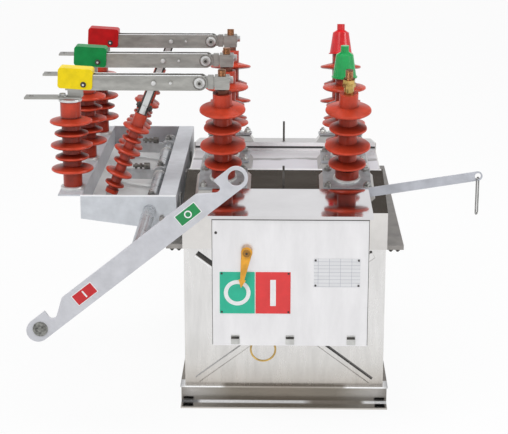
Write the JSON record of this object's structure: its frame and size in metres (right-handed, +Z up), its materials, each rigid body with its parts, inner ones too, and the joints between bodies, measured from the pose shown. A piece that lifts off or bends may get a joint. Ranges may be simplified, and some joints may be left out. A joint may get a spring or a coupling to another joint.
{
  "type": "vacuum circuit breaker",
  "caption": "Outdoor pole-type breaker in a sheet steel housing with leaning ribbed bushings, a side isolating switch with blades and pull insulators, a long handle and a spring mechanism box.",
  "frame": {"origin": "centre of the base frame on its ground face", "axes": "+X to the side without the isolating switch, +Y from the mechanism box to the back, +Z up"},
  "size_m": [1.19, 1.166, 0.9193],
  "materials": {
    "base_steel": "satin",
    "housing_steel": "satin",
    "flange_steel": "satin",
    "seat_steel": "satin",
    "flange_zinc": "satin",
    "insulator_red": "gloss",
    "copper": "satin",
    "brass": "satin",
    "rubber_green": "satin",
    "rubber_red": "satin",
    "rubber_yellow": "satin",
    "tinned": "satin",
    "frame_grey": "satin",
    "shaft_zinc": "satin",
    "handle_grey": "satin",
    "box_steel": "satin",
    "lid_steel": "polished",
    "sign_enamel": "gloss",
    "plate_steel": "satin",
    "pointer_orange": "satin"
  },
  "bodies": {
    "breaker": {"base_front": "base_steel", "base_rear": "base_steel", "base_sides": "base_steel", "housing": "housing_steel", "front_ribs": "housing_steel", "hood_front": "housing_steel", "hood_rear": "housing_steel", "hood_sides": "housing_steel", "hood_centre": "housing_steel", "side_beams": "flange_steel", "bushing_seats": "seat_steel", "bushing_flanges": "flange_zinc", "bushings_left": "insulator_red", "bushings_right": "insulator_red", "studs": "copper", "stud_nuts": "brass", "cap_green": "rubber_green", "cap_red": "rubber_red", "lifting_eyes": "flange_steel", "terminal_clamps": "tinned", "posts": "insulator_red", "post_contacts": "tinned", "frame_front": "frame_grey", "frame_rear": "frame_grey", "frame_left": "frame_grey", "frame_right": "frame_grey", "frame_floor": "frame_grey", "frame_brackets": "flange_steel", "stop_pin": "flange_steel", "mechanism_box": "box_steel", "mechanism_front": "box_steel", "mechanism_lid": "lid_steel", "sign_plate": "sign_enamel", "name_plate": "plate_steel", "ring_eye": "brass", "arm_hub": "flange_steel"},
    "switch_drive": {"shaft": "shaft_zinc", "cranks": "shaft_zinc", "handle": "handle_grey", "handle_plug": "shaft_zinc"},
    "pointer_body": {"pointer": "pointer_orange"},
    "ring_body": {"pull_ring": "brass"},
    "arm_body": {"side_arm": "handle_grey"},
    "loop_body": {"arm_loop": "flange_steel"},
    "blade_front_body": {"blade_front": "tinned", "cover_yellow": "rubber_yellow"},
    "rod_front_body": {"rod_front": "insulator_red"},
    "blade_middle_body": {"blade_middle": "tinned", "cover_green": "rubber_green"},
    "rod_middle_body": {"rod_middle": "insulator_red"},
    "blade_rear_body": {"blade_rear": "tinned", "cover_red": "rubber_red"},
    "rod_rear_body": {"rod_rear": "insulator_red"}
  },
  "joints": [
    {"name": "switch_shaft", "type": "hinge", "parent": "breaker", "child": "switch_drive", "pos_m": [-0.355, 0, 0.538], "axis": [0, 1, 0], "range_deg": [0, 70]},
    {"name": "blade_front_pivot", "type": "hinge", "parent": "breaker", "child": "blade_front_body", "pos_m": [-0.223, -0.32, 0.868], "axis": [0, 1, 0], "range_deg": [0, 70]},
    {"name": "blade_middle_pivot", "type": "hinge", "parent": "breaker", "child": "blade_middle_body", "pos_m": [-0.223, 0, 0.868], "axis": [0, 1, 0], "range_deg": [0, 70]},
    {"name": "blade_rear_pivot", "type": "hinge", "parent": "breaker", "child": "blade_rear_body", "pos_m": [-0.223, 0.32, 0.868], "axis": [0, 1, 0], "range_deg": [0, 70]},
    {"name": "rod_front_pin", "type": "hinge", "parent": "switch_drive", "child": "rod_front_body", "pos_m": [-0.474, -0.32, 0.538], "axis": [0, 1, 0], "range_deg": [-70, 0]},
    {"name": "rod_middle_pin", "type": "hinge", "parent": "switch_drive", "child": "rod_middle_body", "pos_m": [-0.474, 0, 0.538], "axis": [0, 1, 0], "range_deg": [-70, 0]},
    {"name": "rod_rear_pin", "type": "hinge", "parent": "switch_drive", "child": "rod_rear_body", "pos_m": [-0.474, 0.32, 0.538], "axis": [0, 1, 0], "range_deg": [-70, 0]},
    {"name": "pointer_pivot", "type": "hinge", "parent": "breaker", "child": "pointer_body", "pos_m": [-0.093, -0.669, 0.513], "axis": [0, -1, 0], "range_deg": [0, 35]},
    {"name": "ring_swing", "type": "hinge", "parent": "breaker", "child": "ring_body", "pos_m": [-0.054, -0.561, 0.2518], "axis": [1, 0, 0], "range_deg": [-50, 50]},
    {"name": "arm_pivot", "type": "hinge", "parent": "breaker", "child": "arm_body", "pos_m": [0.195, -0.396, 0.59], "axis": [0, 1, 0], "range_deg": [0, 24], "stiffness_Nm_per_rad": 2, "springref_deg": -28.65},
    {"name": "loop_swing", "type": "hinge", "parent": "arm_body", "child": "loop_body", "pos_m": [0.498, -0.396, 0.635], "axis": [0, 1, 0], "range_deg": [-40, 40]}
  ],
  "couplings": [
    {"joint": "blade_front_pivot", "follows": "switch_shaft", "ratio": 1},
    {"joint": "blade_middle_pivot", "follows": "switch_shaft", "ratio": 1},
    {"joint": "blade_rear_pivot", "follows": "switch_shaft", "ratio": 1},
    {"joint": "rod_front_pin", "follows": "switch_shaft", "ratio": -1},
    {"joint": "rod_middle_pin", "follows": "switch_shaft", "ratio": -1},
    {"joint": "rod_rear_pin", "follows": "switch_shaft", "ratio": -1}
  ]
}
